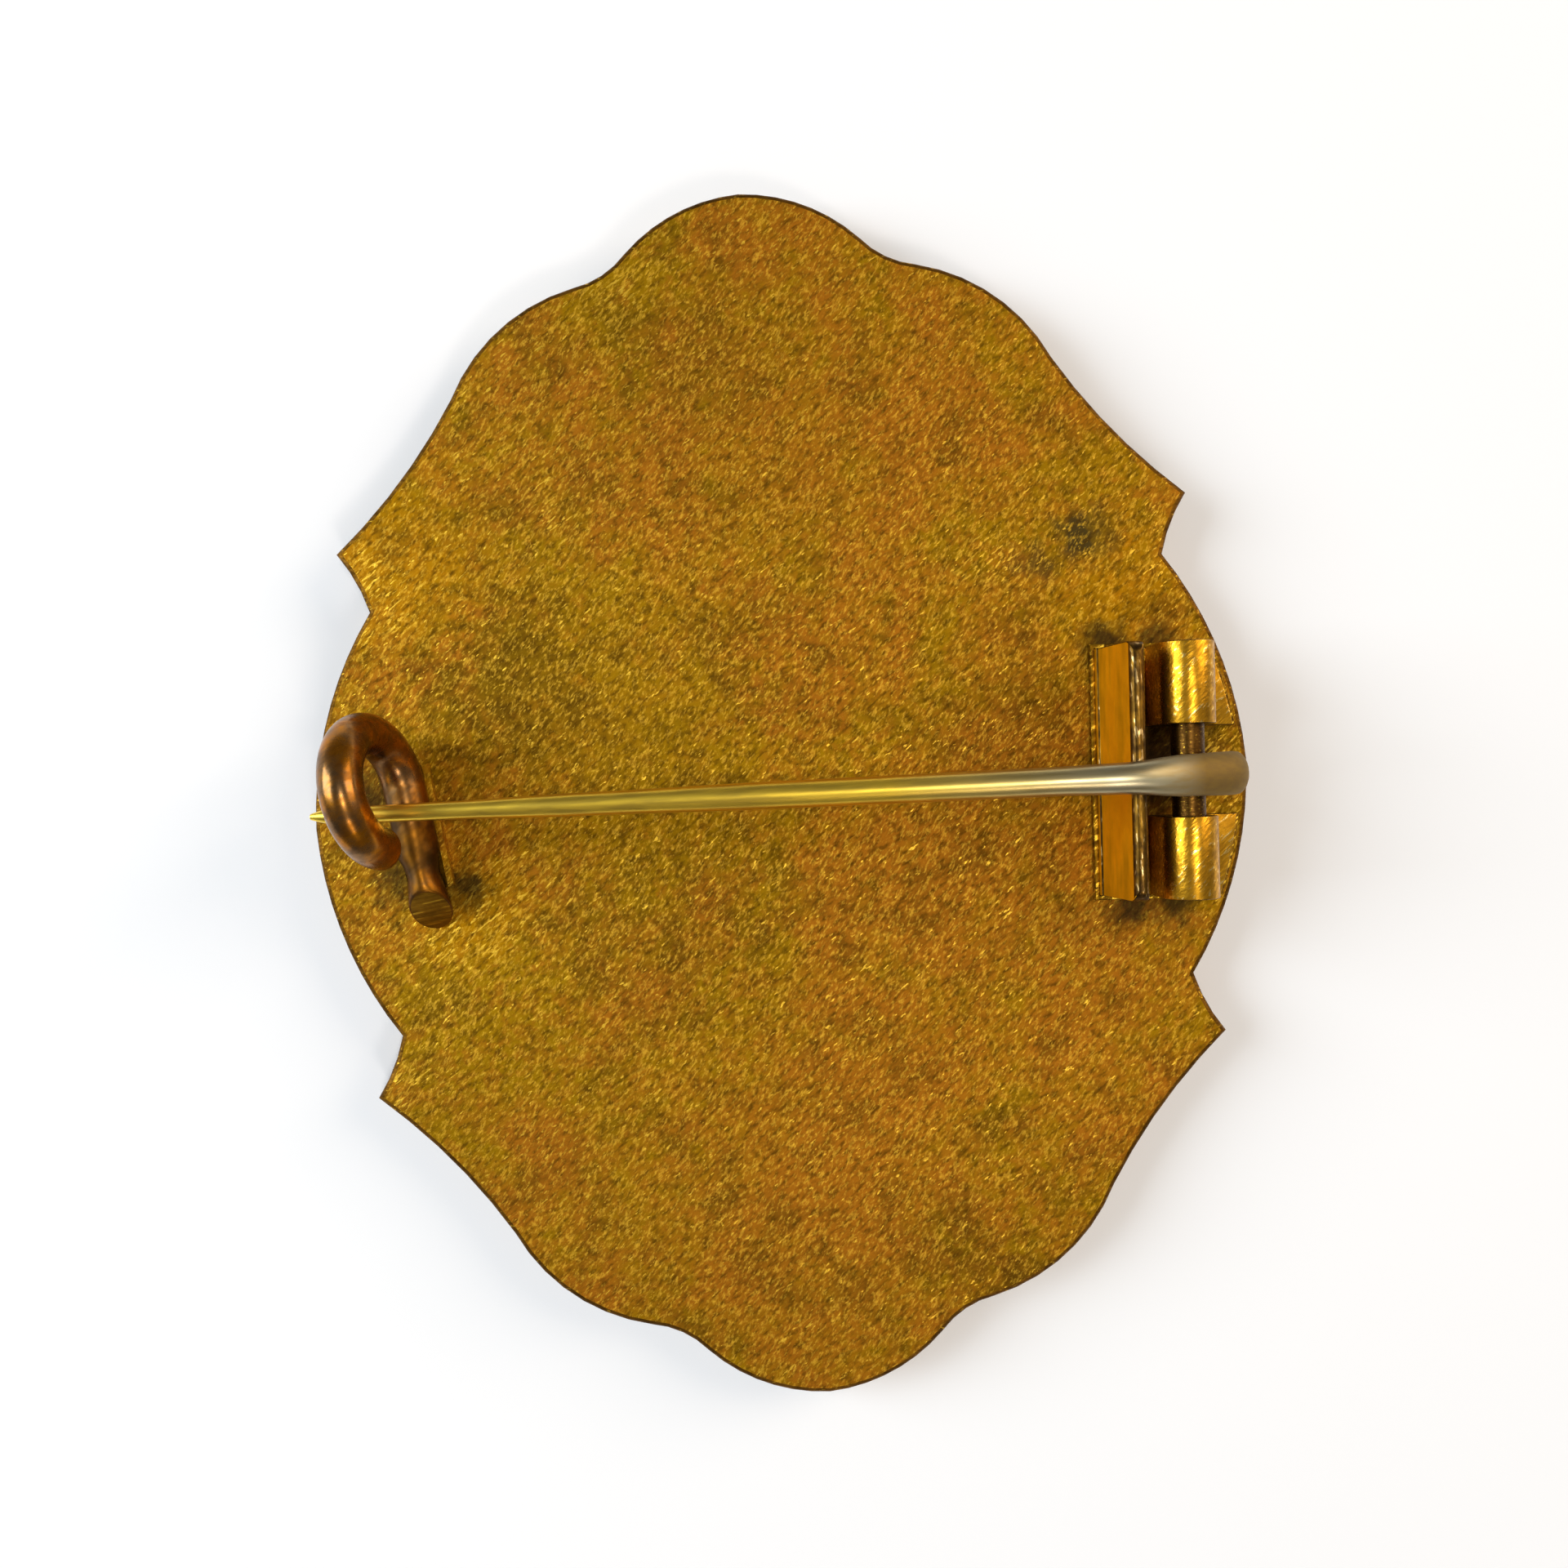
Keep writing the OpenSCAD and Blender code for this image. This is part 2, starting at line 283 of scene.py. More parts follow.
def stain_and_shade_group():
    tree, given, result = effect("stain_and_shade", [("Place", "Vector", (0, 0, 0)), ("Radius", "Float", MM),
                                           ("Ragged", "Float", 0.5)], "Mask")
    coords = put(tree, "ShaderNodeTexCoord")
    distance = put(tree, "ShaderNodeVectorMath", {0: coords.outputs["Object"], 1: given["Place"]},
                   operation="DISTANCE")
    noise = put(tree, "ShaderNodeTexNoise", {"Vector": coords.outputs["Object"],
                                             "Scale": 1.6 / MM, "Detail": 3.0})
    swing = maths(tree, "MULTIPLY", maths(tree, "SUBTRACT", noise.outputs["Fac"], 0.5),
                  maths(tree, "MULTIPLY", given["Ragged"], 4.0))
    near = maths(tree, "DIVIDE", distance.outputs["Value"], given["Radius"])
    tree.links.new(spread(tree, maths(tree, "ADD", near, swing), 1.15, 0.3), result.inputs[0])
    return tree


def glint_group(strokes):
    tree, given, result = effect("glints", [("Turn", "Float", 0), ("Length", "Float", MM / 2),
                                            ("Width", "Float", MM / 10), ("Rare", "Float", 0.66)],
                                 "Mask")
    lines = place(tree, strokes, Turn=given["Turn"], Length=given["Length"], Width=given["Width"])
    full = maths(tree, "ADD", given["Rare"], 0.06)
    tree.links.new(spread(tree, lines, given["Rare"], full), result.inputs[0])
    return tree


strokes = stroke_group()
clouds = cloud_group()
stain_and_shade = stain_and_shade_group()
glints = glint_group(strokes)
scratch_turn = radians(38)


def new_material(name, roughness=0.5, metallic=1.0):
    """A plain material, its tree and its Principled shader."""
    made = bpy.data.materials.new(name)
    made.use_nodes = True
    shader = made.node_tree.nodes["Principled BSDF"]
    shader.inputs["Roughness"].default_value = roughness
    shader.inputs["Metallic"].default_value = metallic
    return made, made.node_tree, shader


def connect(tree, shader, colour, roughness=None, height=None, depth=0.0, strength=1.0):
    """Join what a material has worked out to its shader."""
    tree.links.new(colour, shader.inputs["Base Color"])
    if roughness is not None:
        tree.links.new(roughness, shader.inputs["Roughness"])
    if height is not None:
        bump = put(tree, "ShaderNodeBump", {"Height": height, "Distance": depth, "Strength": strength})
        tree.links.new(bump.outputs[0], shader.inputs["Normal"])


# %% [markdown]
# The back of the plate was rubbed with an abrasive in one slanting direction and then left to
# age. Olive yellow and pinkish copper clouds lie over each other, the strokes darken and
# brighten both, and a few places have their own stain. Worn places get more glints, which
# are partly painted sparkle, and painted shade goes on last, in the shaded corners round the
# fittings. All places are measured from the middle of the badge, in millimetres: a stain has
# its colour, how much of it shows, its place, its radius and how ragged it is.

# %% Material of the back
OLIVE = (0.360, 0.195, 0.001, 1)
COPPER = (0.420, 0.160, 0.007, 1)
DEEP = (0.115, 0.052, 0.001, 1)
# Bright fresh metal of the scratches, also used as painted sparkle.
FRESH_AND_SPARKLE = (0.88, 0.54, 0.045, 1)
YELLOW = (0.50, 0.230, 0.0, 1)
GREY = (0.050, 0.038, 0.012, 1)
# Painted shade: the dark of the shaded corners round the fittings.
PAINTED_SHADE = (0.035, 0.018, 0.005, 1)
back_stains = [
    (YELLOW, 0.70, (-11.6, 8.0), 3.4, 0.5),
    (YELLOW, 0.60, (11.2, 5.5), 2.6, 0.6),
    (YELLOW, 0.65, (-10.2, -2.6), 2.2, 0.6),
    (OLIVE, 0.80, (-5.5, 3.0), 6.0, 0.7),
    (DEEP, 0.50, (-8.2, 3.9), 3.0, 0.8),
    (DEEP, 0.30, (8.0, 1.2), 4.4, 0.8),
    (DEEP, 0.22, (-3.0, -3.5), 4.0, 0.9),
    (DEEP, 0.42, (-1.6, 13.4), 2.4, 0.7),
    (GREY, 0.90, (10.1, 7.4), 1.05, 0.6),
    (GREY, 0.60, (8.6, 6.7), 0.8, 0.7),
    (DEEP, 0.75, (5.8, 10.15), 0.22, 0.3),
    (DEEP, 0.60, (-6.6, 6.65), 0.20, 0.3),
    (DEEP, 0.55, (8.4, -12.3), 0.28, 0.3),
    (DEEP, 0.75, (6.4, -16.4), 1.3, 0.7),
    (DEEP, 0.60, (4.4, -14.9), 1.4, 0.7),
    (COPPER, 0.60, (0.8, 11.0), 4.5, 0.6),
    (COPPER, 0.65, (-1.0, -13.0), 6.5, 0.6),
]
# Painted shade in the slot under the pin, at the hinge's ends and round the catch's foot and ring: how
# much shows, place, radius and how ragged.
painted_shade_places = [
    (0.95, (11.3, 0.0), 2.0, 0.1),
    (0.90, (12.6, 0.1), 1.5, 0.15),
    (0.85, (10.5, 3.95), 0.85, 0.4),
    (0.70, (12.2, 4.0), 0.75, 0.5),
    (0.85, (10.7, -4.35), 0.8, 0.4),
    (0.85, (12.2, -4.4), 0.8, 0.4),
    (0.75, (-12.1, -1.7), 1.2, 0.5),
    (0.80, (-10.3, -2.1), 0.8, 0.5),
    (0.75, (-12.9, 1.0), 1.0, 0.4),
]
# Places where the glints, which are partly painted sparkle, are denser.
worn_sparkle_places = [(-10.4, -3.0, 2.4), (-12.6, 7.2, 1.8), (13.2, -0.2, 2.6), (-13.2, -8.4, 1.4),
               (-6.5, 9.3, 0.9), (7.1, 6.9, 1.1), (-4.2, 16.2, 1.0)]


def back_place(x, y):
    """A place on the flat back, from millimetres."""
    return (x * MM, y * MM, back_z)


def back_material():
    """The rubbed and aged back: clouds, stains, flecks, strokes, glints partly painted as sparkle, and
    painted shade, in that order.
    """
    made, tree, shader = new_material("gilding_metal_back", metallic=0.92)
    grain = place(tree, strokes, Turn=scratch_turn, Length=0.40 * MM, Width=0.15 * MM)
    fine = place(tree, strokes, Turn=scratch_turn + 0.3, Length=0.18 * MM, Width=0.08 * MM)
    colour = mixed(tree, place(tree, clouds, Size=3.6 * MM, Low=0.44, High=0.58), OLIVE, COPPER)
    small = place(tree, clouds, Size=0.5 * MM, Low=0.48, High=0.62, Shift=5 * MM)
    colour = mixed(tree, maths(tree, "MULTIPLY", small, 0.6), colour, COPPER)
    for tint, share, middle, radius, ragged in back_stains:
        mask = place(tree, stain_and_shade, Place=back_place(*middle), Radius=radius * MM, Ragged=ragged)
        colour = mixed(tree, maths(tree, "MULTIPLY", mask, share), colour, tint)
    blotches = place(tree, clouds, Size=1.3 * MM, Low=0.50, High=0.68, Shift=8 * MM)
    colour = mixed(tree, maths(tree, "MULTIPLY", blotches, 0.52), colour, DEEP)
    mottled = place(tree, stain_and_shade, Place=back_place(-5.0, 3.0), Radius=11 * MM, Ragged=0.5)
    flecks = place(tree, clouds, Size=0.32 * MM, Low=0.54, High=0.64, Shift=2 * MM)
    often_there = maths(tree, "ADD", maths(tree, "MULTIPLY", mottled, 0.45), 0.12)
    colour = mixed(tree, maths(tree, "MULTIPLY", flecks, often_there), colour, DEEP)
    colour = mixed(tree, spread(tree, grain, 0.52, 0.30, 0.0, 0.70), colour, DEEP)
    colour = mixed(tree, spread(tree, fine, 0.50, 0.70, 0.0, 0.6), colour, FRESH_AND_SPARKLE)
    bright = place(tree, glints, Turn=scratch_turn, Length=0.32 * MM, Width=0.11 * MM, Rare=0.66)
    # Where the painted sparkle of the glints is denser.
    worn = 0.0
    for x, y, radius in worn_sparkle_places:
        spot = place(tree, stain_and_shade, Place=back_place(x, y), Radius=radius * MM, Ragged=0.5)
        worn = maths(tree, "MAXIMUM", spot, worn)
    often = place(tree, glints, Turn=scratch_turn, Length=0.45 * MM, Width=0.12 * MM, Rare=0.57)
    bright = maths(tree, "MAXIMUM", bright, maths(tree, "MULTIPLY", often, worn))
    colour = mixed(tree, maths(tree, "MULTIPLY", bright, 0.85), colour, FRESH_AND_SPARKLE)
    # Painted shade, laid last so that it covers the glints.
    for share, middle, radius, ragged in painted_shade_places:
        mask = place(tree, stain_and_shade, Place=back_place(*middle), Radius=radius * MM, Ragged=ragged)
        colour = mixed(tree, maths(tree, "MULTIPLY", mask, share), colour, PAINTED_SHADE)
    rough = maths(tree, "SUBTRACT", spread(tree, grain, 0.3, 0.7, 0.80, 0.64),
                  maths(tree, "MULTIPLY", bright, 0.25))
    height = maths(tree, "ADD", grain, maths(tree, "MULTIPLY", fine, 0.6))
    connect(tree, shader, colour, rough, height, depth=0.03 * MM, strength=0.8)
    return made


# %% [markdown]
# The cut edge and the metal of the fittings are made the same way with other colours and
# sizes, so one function makes them all. The edge is darker. The hinge is bright, with glints
# that are partly rubbed metal and partly painted sparkle, and darker in the valley behind its
# wall and on its cut ends, partly dirt and partly painted shade. Its stop wall's face is painted
# bright orange for the plate it reflects. The catch is dark and smooth, with painted shade
# where it leaves the plate, and its nipped end shows the cut.

# %% Materials of the other metal pieces
def metal(name, main, other, cloud, turn, length, width, rough, depth, glint=FRESH_AND_SPARKLE,
          glint_share=0.6, rare=0.64, painted_shade=None):
    """Two clouded colours under strokes, with glints in a third, partly painted sparkle, and
    painted shade round one place.

    cloud, length, width and depth are millimetres, and painted_shade is a place and a radius."""
    made, tree, shader = new_material(name)
    grain = place(tree, strokes, Turn=turn, Length=length * MM, Width=width * MM)
    colour = mixed(tree, place(tree, clouds, Size=cloud * MM, Low=0.4, High=0.62), main, other)
    shade = mixed(tree, 1.0, colour, (0.62, 0.60, 0.56, 1), blend="MULTIPLY")
    colour = mixed(tree, spread(tree, grain, 0.55, 0.35), colour, shade)
    bright = place(tree, glints, Turn=turn, Length=length * MM, Width=width * MM, Rare=rare)
    colour = mixed(tree, maths(tree, "MULTIPLY", bright, glint_share), colour, glint)
    rough = spread(tree, grain, 0.3, 0.7, rough + 0.08, rough - 0.08)
    # Painted shade round one place, with more roughness there.
    if painted_shade:
        middle, radius = painted_shade
        mask = place(tree, stain_and_shade, Place=middle, Radius=radius * MM, Ragged=0.15)
        colour = mixed(tree, maths(tree, "MULTIPLY", mask, 0.94), colour, PAINTED_SHADE)
        rough = maths(tree, "ADD", rough, maths(tree, "MULTIPLY", mask, 0.25))
    connect(tree, shader, colour, rough, grain, depth=depth * MM, strength=0.6)
    return made


back_metal = back_material()
edge_metal = metal("darker_edge", (0.13, 0.058, 0.006, 1), (0.22, 0.098, 0.010, 1), 0.8,
                   0, 0.3, 0.1, rough=0.55, depth=0.01)
front_metal = metal("front_gilt", (0.80, 0.50, 0.15, 1), (0.70, 0.42, 0.11, 1), 3.0,
                    0.3, 0.5, 0.06, rough=0.24, depth=0.003)
# The wall's face is painted bright orange for the plate it reflects.
wall_reflection_metal = metal("wall_painted_reflection", (1.0, 0.50, 0.008, 1), (0.92, 0.45, 0.006, 1), 0.9,
                   pi / 2, 3.0, 0.8, rough=0.55, depth=0.001, glint_share=0.0)
hinge_metal = metal("hinge_brass", (0.70, 0.345, 0.020, 1), (0.50, 0.24, 0.014, 1), 0.6,
                    scratch_turn, 0.5, 0.12, rough=0.32, depth=0.02, glint=(1.0, 0.68, 0.20, 1),
                    glint_share=0.85, rare=0.60)
# Darker metal for the valley behind the wall and the cut ends: partly dirt, partly painted shade.
dirt_and_shade_metal = metal("hinge_dirt_and_shade", (0.19, 0.095, 0.012, 1), (0.07, 0.035, 0.010, 1), 0.5,
                    pi / 2, 0.4, 0.12, rough=0.38, depth=0.01, glint=(0.7, 0.48, 0.20, 1), rare=0.60)
# The rivet is painted dark for the shade of the slot it sits in.
rivet_shade_metal = metal("rivet_painted_shade", (0.12, 0.055, 0.010, 1), (0.07, 0.03, 0.006, 1), 0.5,
                    0, 0.2, 0.05, rough=0.4, depth=0.004)
# Its glints are partly painted sparkle.
solder_metal = metal("solder", (0.34, 0.17, 0.008, 1), (0.12, 0.055, 0.005, 1), 0.3,
                     scratch_turn, 0.3, 0.12, rough=0.5, depth=0.02, glint_share=0.9, rare=0.56)
# The catch's painted shade darkens its foot and leg where they lie in shade under the crook.
catch_metal = metal("catch_bronze", (0.22, 0.115, 0.045, 1), (0.44, 0.16, 0.010, 1), 0.9,
                    0.6, 1.2, 0.3, rough=0.27, depth=0.0, glint=(0.4, 0.25, 0.10, 1), rare=0.7,
                    painted_shade=(back_place(-11.4, -0.9), 2.6))
nipped_metal = metal("nipped_end", (0.36, 0.18, 0.012, 1), (0.24, 0.12, 0.010, 1), 0.6,
                     0.1, 1.2, 0.10, rough=0.5, depth=0.02)


# %% [markdown]
# The pin is one drawn wire, so its strokes are long and run along it. It is grey where it
# bends and dull tan on its hammered eye, and along the rest it is yellow and satin. The
# colours change with the distance along the badge, which Object coordinates give as X.


# %% Material of the pin
def pin_material():
    """Yellow wire that turns grey and then tan towards the hinge."""
    made, tree, shader = new_material("pin_wire")
    coords = put(tree, "ShaderNodeTexCoord")
    along = put(tree, "ShaderNodeSeparateXYZ", {0: coords.outputs["Object"]}).outputs[0]
    grain = place(tree, strokes, Turn=-0.03, Length=2.4 * MM, Width=0.16 * MM)
    greyed = spread(tree, along, 3.0 * MM, 9.5 * MM)
    colour = mixed(tree, greyed, (1.0, 0.68, 0.070, 1), (0.50, 0.45, 0.29, 1))
    hammered = spread(tree, along, 10.8 * MM, 12.4 * MM)
    colour = mixed(tree, hammered, colour, (0.25, 0.160, 0.052, 1))
    colour = mixed(tree, spread(tree, grain, 0.58, 0.38, 0.0, 0.35), colour, (0.34, 0.22, 0.05, 1))
    rough = spread(tree, along, 10.4 * MM, 12.2 * MM, 0.33, 0.66)
    connect(tree, shader, colour, rough)
    return made


pin_metal = pin_material()

# %% [markdown]
# Vitreous enamel is powdered glass fired into the cells. It is opaque and glossy, with slight
# changes of depth, a few dark specks and a surface that is never quite level. A clear coat
# over a plain colour gives the wet look without the cost of real glass.


# %% Enamel
def enamel(name, colour, deeper):
    """Opaque fired glass in two depths of one colour."""
    made, tree, shader = new_material(name, roughness=0.12, metallic=0.0)
    depth = place(tree, clouds, Size=1.5 * MM, Low=0.35, High=0.7)
    specks = place(tree, clouds, Size=0.12 * MM, Low=0.70, High=0.74)
    tint = mixed(tree, depth, colour, deeper)
    tint = mixed(tree, maths(tree, "MULTIPLY", specks, 0.6), tint, (0.02, 0.02, 0.02, 1))
    wave = place(tree, clouds, Size=2.5 * MM, Low=0.2, High=0.8)
    shader.inputs["Coat Weight"].default_value = 1.0
    shader.inputs["Coat Roughness"].default_value = 0.05
    connect(tree, shader, tint, None, wave, depth=0.05 * MM, strength=0.4)
    return made


cream_enamel = enamel("cream_enamel", (0.74, 0.66, 0.45, 1), (0.66, 0.56, 0.34, 1))
green_enamel = enamel("green_enamel", (0.012, 0.13, 0.06, 1), (0.006, 0.08, 0.04, 1))
red_enamel = enamel("red_enamel", (0.33, 0.008, 0.010, 1), (0.22, 0.004, 0.006, 1))
blue_enamel = enamel("blue_enamel", (0.010, 0.035, 0.22, 1), (0.006, 0.020, 0.14, 1))
print(len(bpy.data.materials), "materials")

# %% [markdown]
# The plate was struck and then cut out, so its edges are rounded over by handling. It could
# be modelled again from its outline, but a bevelled copy of the solid keeps every rib in its
# place. The bevel on the back's outline and the cut edge are darker, and what faces forward
# keeps its gilt.

# %% Plate
edge_round = 0.16 * MM
rib_round = 0.07 * MM


def struck_plate():
    """The plate with a worn back edge, fine rounds on its ribs and three metals."""
    bm = merged_copy("badge_plate")
    outline = [e for e in sharp_edges(bm) if all(v.co.z > back_z - 0.01 * MM for v in e.verts)]
    soften(bm, outline, edge_round, segments=3)
    relief = [e for e in sharp_edges(bm, 50) if all(v.co.z < 0.01 * MM for v in e.verts)]
    soften(bm, relief, rib_round, segments=2)
    bm.normal_update()
    for face in bm.faces:
        height = face.calc_center_median().z
        if height > back_z - 0.005 * MM:
            face.material_index = 0
        elif height > 0.3 * MM and abs(face.normal.z) < 0.97:
            face.material_index = 1
        else:
            face.material_index = 2
    piece = finish_piece("struck_plate", bm, "badge", ["badge_plate"])
    for material in (back_metal, edge_metal, front_metal):
        piece.data.materials.append(material)


struck_plate()


# %% [markdown]
# Each cell's enamel is a copy of its solid with a rounded rim, as molten glass draws itself
# into a soft edge beside the metal. The ring and the panels repeat, so loops make them.

# %% Enamel fields
glass_round = 0.08 * MM


def enamel_field(node, material):
    """One cell's enamel, rounded where it meets the air."""
    bm = merged_copy(node)
    low = min(v.co.z for v in bm.verts)
    rim = [e for e in sharp_edges(bm, 50) if all(v.co.z < low + 0.01 * MM for v in e.verts)]
    soften(bm, rim, glass_round, segments=3)
    piece = finish_piece(node + "_fired", bm, "badge", [node])
    piece.data.materials.append(material)


enamel_field("enamel_centre", cream_enamel)
for number in range(1, 5):
    enamel_field("enamel_band_%d" % number, green_enamel)
for number in range(1, 9):
    enamel_field("enamel_panel_%d" % number, blue_enamel if number % 2 else red_enamel)

# %% [markdown]
# The hinge is folded from thin sheet. It could be a flat strip with a Solidify modifier, but
# the solid already has its folds, so its copy only gets a bevel of a fifth of the sheet's
# thickness. Which metal a face shows is told by where it is and the way it looks: the wall's
# face towards the badge's middle is painted bright orange for the plate it reflects, and the
# valley behind the wall and the cut ends are darker, partly dirt and partly painted shade.
# The rivet is small and mostly hidden, so its solid is kept and only gets its own metal,
# painted dark for the shade it sits in.

# %% Hinge
wall_end, valley_end = 10.3 * MM, 10.9 * MM
sheet_round = 0.09 * MM


def hinge():
    """The folded hinge with its three metals, and the rivet's metal."""
    bm = merged_copy("hinge_block")
    soften(bm, sharp_edges(bm, 40), sheet_round, segments=3)
    bm.normal_update()
    for face in bm.faces:
        middle = face.calc_center_median()
        # The wall's face towards the middle takes the painted reflection.
        if face.normal.x < -0.8 and middle.x < wall_end:
            face.material_index = 1
        # The valley behind the wall and the cut ends take the darker metal: dirt and painted shade.
        elif middle.x < valley_end or abs(face.normal.y) > 0.7:
            face.material_index = 2
    piece = finish_piece("folded_hinge", bm, "badge", ["hinge_block"])
    for material in (hinge_metal, wall_reflection_metal, dirt_and_shade_metal):
        piece.data.materials.append(material)
    # The rivet gets its metal painted dark for the shade.
    bpy.data.objects["hinge_rivet"].material_slots[0].material = rivet_shade_metal


hinge()


# %% [markdown]
# Wire could be a curve with a round bevel, but a curve's section can't flatten on the way. A
# ring of points is pushed along a path instead. Each step extrudes the ring's edges and moves
# the new ring by the change from one frame to the next, so the section can flatten, pinch or
# taper as it goes. A frame is a matrix: the ring's half width, its half thickness, the way
# along, and the place.

# %% Wire along a path
def ring_frame(place_at, along, across, half_width, half_thick):
    """The matrix that takes a circle of radius 1 to the wire's section at one place."""
    along = Vector(along).normalized()
    across = (Vector(across) - along * Vector(across).dot(along)).normalized()
    rise = along.cross(across)
    turn = Matrix((across * half_width, rise * half_thick, along * MM)).transposed().to_4x4()
    return Matrix.Translation(place_at) @ turn


def swept_wire(frames, sides=28):
    """A closed wire through the frames, with a flat cap on each end."""
    bm = bmesh.new()
    bmesh.ops.create_circle(bm, cap_ends=True, segments=sides, radius=1.0, matrix=frames[0])
    edges = bm.edges[:]
    for before, after in zip(frames, frames[1:]):
        made = bmesh.ops.extrude_edge_only(bm, edges=edges)["geom"]
        edges = [g for g in made if isinstance(g, bmesh.types.BMEdge)
                 and len(g.link_faces) == 1]
        ring = list({v for e in edges for v in e.verts})
        bmesh.ops.transform(bm, matrix=after @ before.inverted(), verts=ring)
    bmesh.ops.contextual_create(bm, geom=edges)
    return bm


def between(table, at):
    """The value that a short table of (distance, value) gives at a distance, eased."""
    for (a, low), (b, high) in zip(table, table[1:]):
        if at <= b:
            share = (max(at, a) - a) / (b - a)
            share = share * share * (3 - 2 * share)
            return low + (high - low) * share
    return table[-1][1]


# %% [markdown]
# The pin is one wire. Its end is hammered flat and curled round the rivet, the flat part
# climbs over the stop wall, and from there the wire is round and tapers to a point. The path
# is worked out in the pin's own plane, where x runs to the tip, from the same few dimensions
# as the solid, and then turned to the pin's slight lean. The two tables give half the wire's
# width and thickness in millimetres at distances along it.

# %% Pin
pin_slope, pin_lean, descent = radians(4.2), radians(1.65), radians(24)
eye_r, bend_r = 1.01, 6.0
eye_stretch = 1.70
over_wall = (1.755, 1.66)
leave = (-eye_r * sin(descent), eye_r * cos(descent))
meet_x = ((over_wall[1] - leave[1] + leave[0] * tan(descent) + over_wall[0] * tan(pin_slope))
          / (tan(descent) + tan(pin_slope)))
meet = (meet_x, over_wall[1] + (over_wall[0] - meet_x) * tan(pin_slope))
bend_run = bend_r * tan((descent + pin_slope) / 2)
rise_l = hypot(meet[0] - leave[0], meet[1] - leave[1]) - bend_run
eye_wrap = radians(255)
shank_l = 23.9


def pin_path(s):
    """Place and direction in the pin's plane, s millimetres from where the wire leaves the eye."""
    bend_l = bend_r * (descent + pin_slope)
    if s < 0:
        a = pi / 2 + descent - s / eye_r
        wide = eye_stretch if cos(a) < leave[0] / eye_r else 1
        x = leave[0] + (eye_r * cos(a) - leave[0]) * wide
        return (x, eye_r * sin(a)), (sin(a) * wide, -cos(a))
    if s < rise_l:
        return (leave[0] + s * cos(descent), leave[1] + s * sin(descent)), (cos(descent), sin(descent))
    start = (meet[0] + bend_run * cos(pin_slope), meet[1] - bend_run * sin(pin_slope))
    if s < rise_l + bend_l:
        a = descent - (s - rise_l) / bend_r
        centre = (start[0] - bend_r * sin(pin_slope), start[1] - bend_r * cos(pin_slope))
        return (centre[0] - bend_r * sin(a), centre[1] + bend_r * cos(a)), (cos(a), sin(a))
    t = s - rise_l - bend_l
    return ((start[0] + t * cos(pin_slope), start[1] - t * sin(pin_slope)),
            (cos(pin_slope), -sin(pin_slope)))


pin_length = rise_l + bend_r * (descent + pin_slope) + shank_l
half_widths = [(-4.6, 0.36), (-2.6, 0.50), (-0.6, 0.66), (0.9, 0.62), (2.9, 0.47), (5, 0.43),
               (13, 0.415), (19, 0.35), (23, 0.28), (pin_length - 1.0, 0.25),
               (pin_length - 0.4, 0.21), (pin_length, 0.09)]
half_thicks = [(-4.6, 0.30), (-1.6, 0.38), (0.9, 0.40), (2.9, 0.43), (5, 0.43),
               (13, 0.415), (19, 0.35), (23, 0.28), (pin_length - 1.0, 0.25),
               (pin_length - 0.4, 0.21), (pin_length, 0.09)]


def pin():
    """The pin from its eye to its tip."""
    turn = Matrix.Translation(pivot) @ Matrix.Rotation(pi - pin_lean, 4, "Z")
    steps = 150
    frames = []
    for i in range(steps + 1):
        s = -eye_r * eye_wrap + (pin_length + eye_r * eye_wrap) * i / steps
        (x, z), (dx, dz) = pin_path(s)
        frames.append(turn @ ring_frame(Vector((x, 0, z)) * MM, (dx, 0, dz), (0, 1, 0),
                                        between(half_widths, s) * MM, between(half_thicks, s) * MM))
    bm = swept_wire(frames)
    print("pin", round(pin_length, 1), "mm from its eye to its tip")
    piece = finish_piece("pin_wire", bm, "pin", ["pin"], smooth_angle=50)
    piece.data.materials.append(pin_metal)


pin()

# %% [markdown]
# The catch is round wire. Its foot lies along the plate and was nipped off at a slant, which
# leaves a flat face, a pinched neck marks the plier jaws, and the rest is curled into a crook
# that leans outwards. The slant is the first ring, sheared, so no cut is needed. The two ends
# are the faces with the most corners, and that is how they are found.

# %% Catch
wire_r, crook_r = 0.65, 1.75
crook_lean, catch_turn = radians(16), radians(8)
crook_sweep = radians(262)
catch_at = Vector((-11.75 * MM, 1.1 * MM, back_z + wire_r * MM))
foot_l, nipped_l = 3.9, 0.7
foot_steps, crook_steps = 24, 60
neck_at, neck_l, neck_share = 2.75, 0.55, 0.74


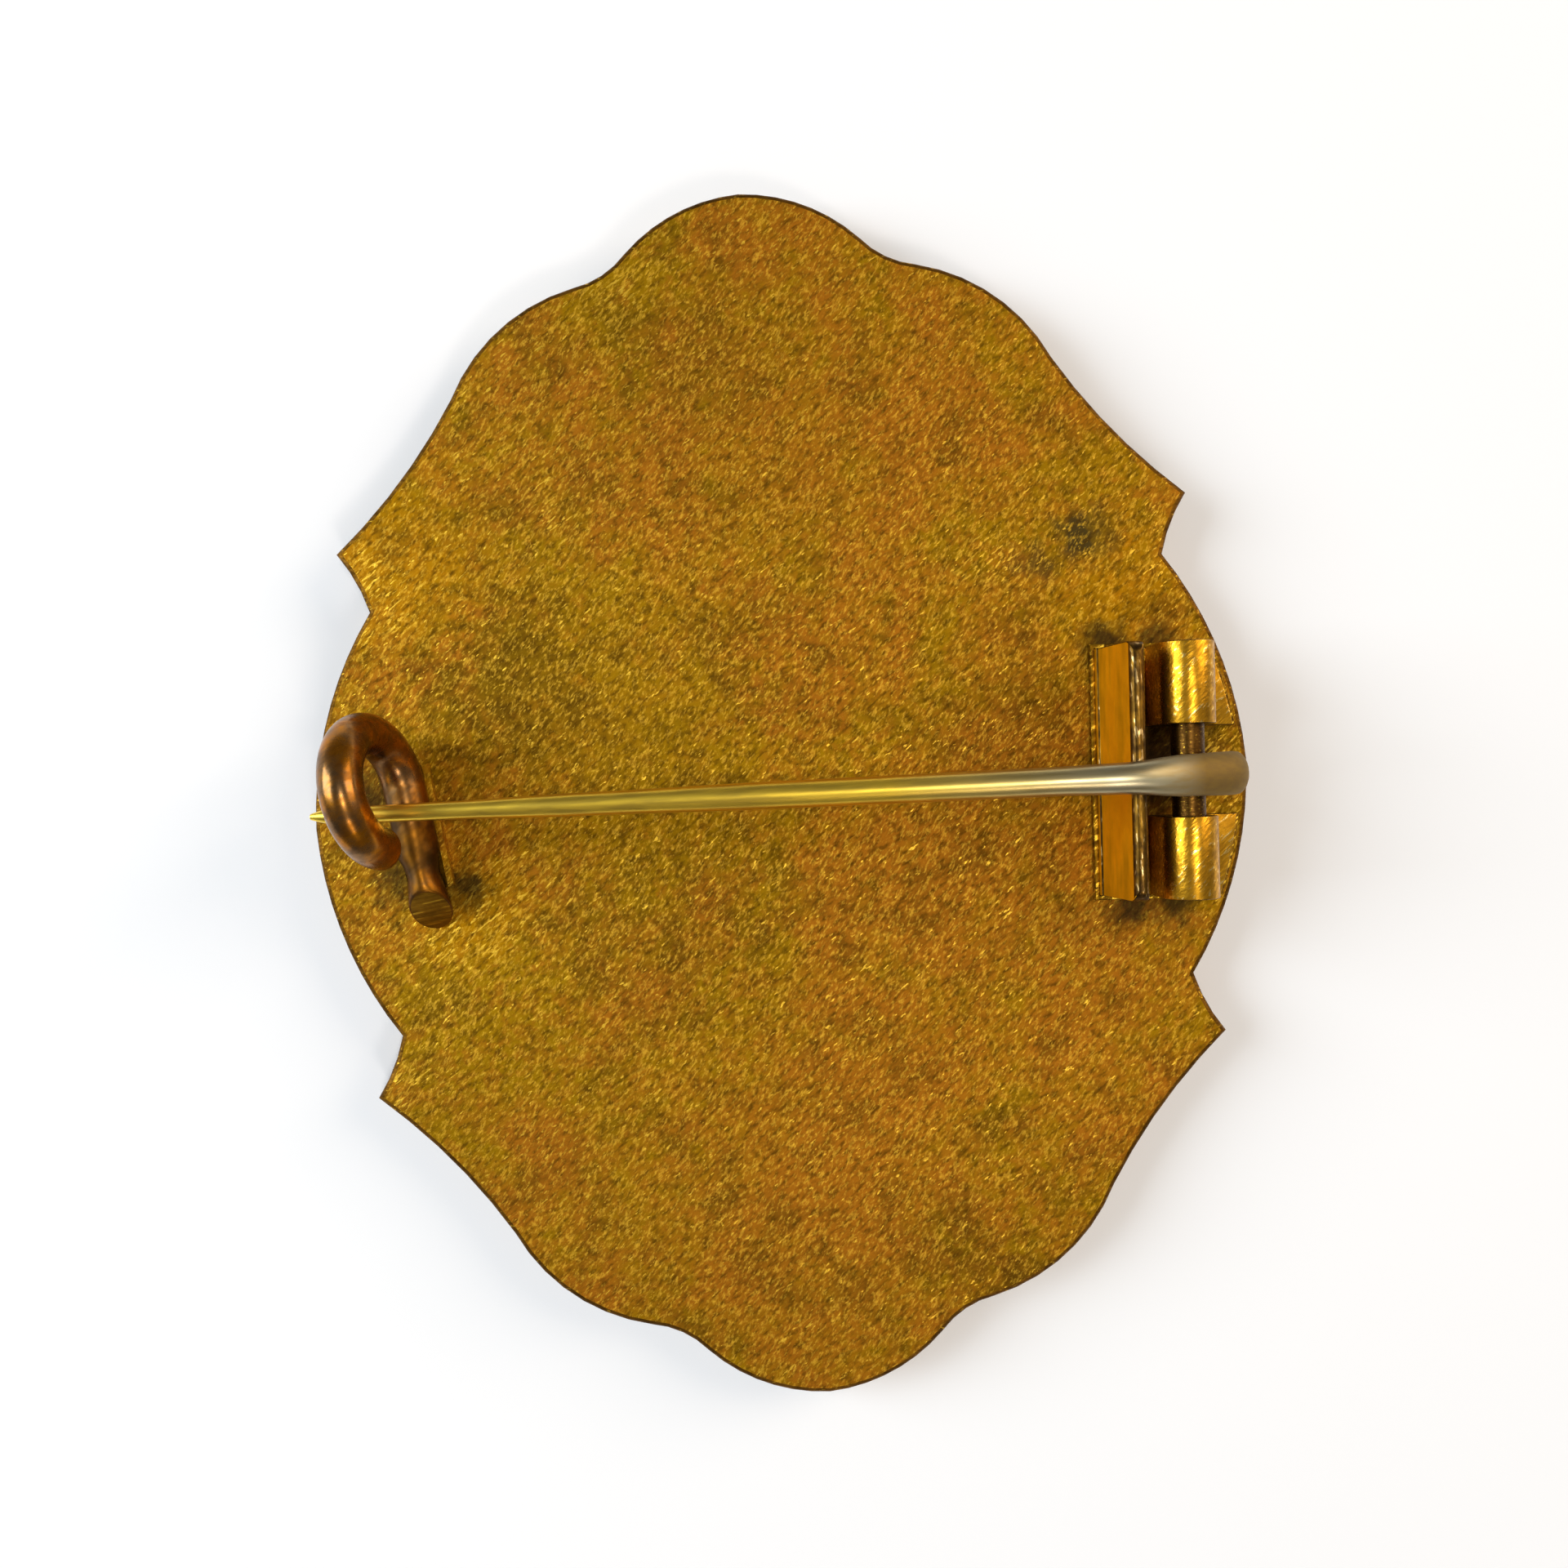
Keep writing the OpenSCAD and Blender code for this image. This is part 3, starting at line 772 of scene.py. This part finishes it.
def catch():
    """The catch from its nipped foot to the end of its crook."""
    turn = Matrix.Translation(catch_at) @ Matrix.Rotation(catch_turn, 4, "Z")
    lean = Matrix.Rotation(-crook_lean, 4, "Y")
    level = ring_frame(Vector(), (0, 1, 0), (1, 0, 0), wire_r * MM, wire_r * MM)
    slant = Matrix(((1, 0, 0, 0), (0, 1, 1, 0), (0, 0, 1, 0), (0, 0, 0, 1)))
    frames = [turn @ Matrix.Translation((0, -foot_l * MM, 0)) @ slant @ level]
    for i in range(1, foot_steps + 1):
        y = -(foot_l - nipped_l) * (1 - i / foot_steps)
        pinch = max(0.0, 1 - abs(-y - neck_at) / neck_l) ** 0.5 * (1 - neck_share)
        frames.append(turn @ ring_frame(Vector((0, y, 0)) * MM, (0, 1, 0), (1, 0, 0),
                                        wire_r * (1 - pinch) * MM, wire_r * MM))
    for i in range(1, crook_steps + 1):
        a = crook_sweep * i / crook_steps
        middle = Vector((0, crook_r * sin(a), crook_r * (1 - cos(a)))) * MM
        frames.append(turn @ lean @ ring_frame(middle, (0, cos(a), sin(a)), (1, 0, 0),
                                               wire_r * MM, wire_r * MM))
    bm = swept_wire(frames, sides=32)
    soften(bm, sharp_edges(bm, 40), 0.06 * MM)
    most = max(len(face.verts) for face in bm.faces)
    for face in bm.faces:
        face.material_index = int(len(face.verts) == most)
    piece = finish_piece("curled_catch", bm, "badge", ["catch_wire"], smooth_angle=40)
    piece.data.materials.append(catch_metal)
    piece.data.materials.append(nipped_metal)


catch()


# %% [markdown]
# Solder runs into a corner and sets as a low fillet, so the solids' top edges are rounded.
# Round the hinge it is a thin dull line with bright spots, partly rubbed metal and partly
# painted sparkle. Along the catch's foot it has taken the colour of the plate, so it is rounded
# more and shares the plate's metal.


# %% Solder
def solder(node, width, material):
    """One joint's fillets, with their top edges rounded."""
    bm = merged_copy(node)
    top = [e for e in sharp_edges(bm, 50) if min(v.co.z for v in e.verts) > back_z + 0.05 * MM]
    soften(bm, top, width, segments=3)
    piece = finish_piece(node + "_fillet", bm, "badge", [node], smooth_angle=60)
    piece.data.materials.append(material)


solder("hinge_solder", 0.03 * MM, solder_metal)
solder("catch_solder", 0.13 * MM, back_metal)
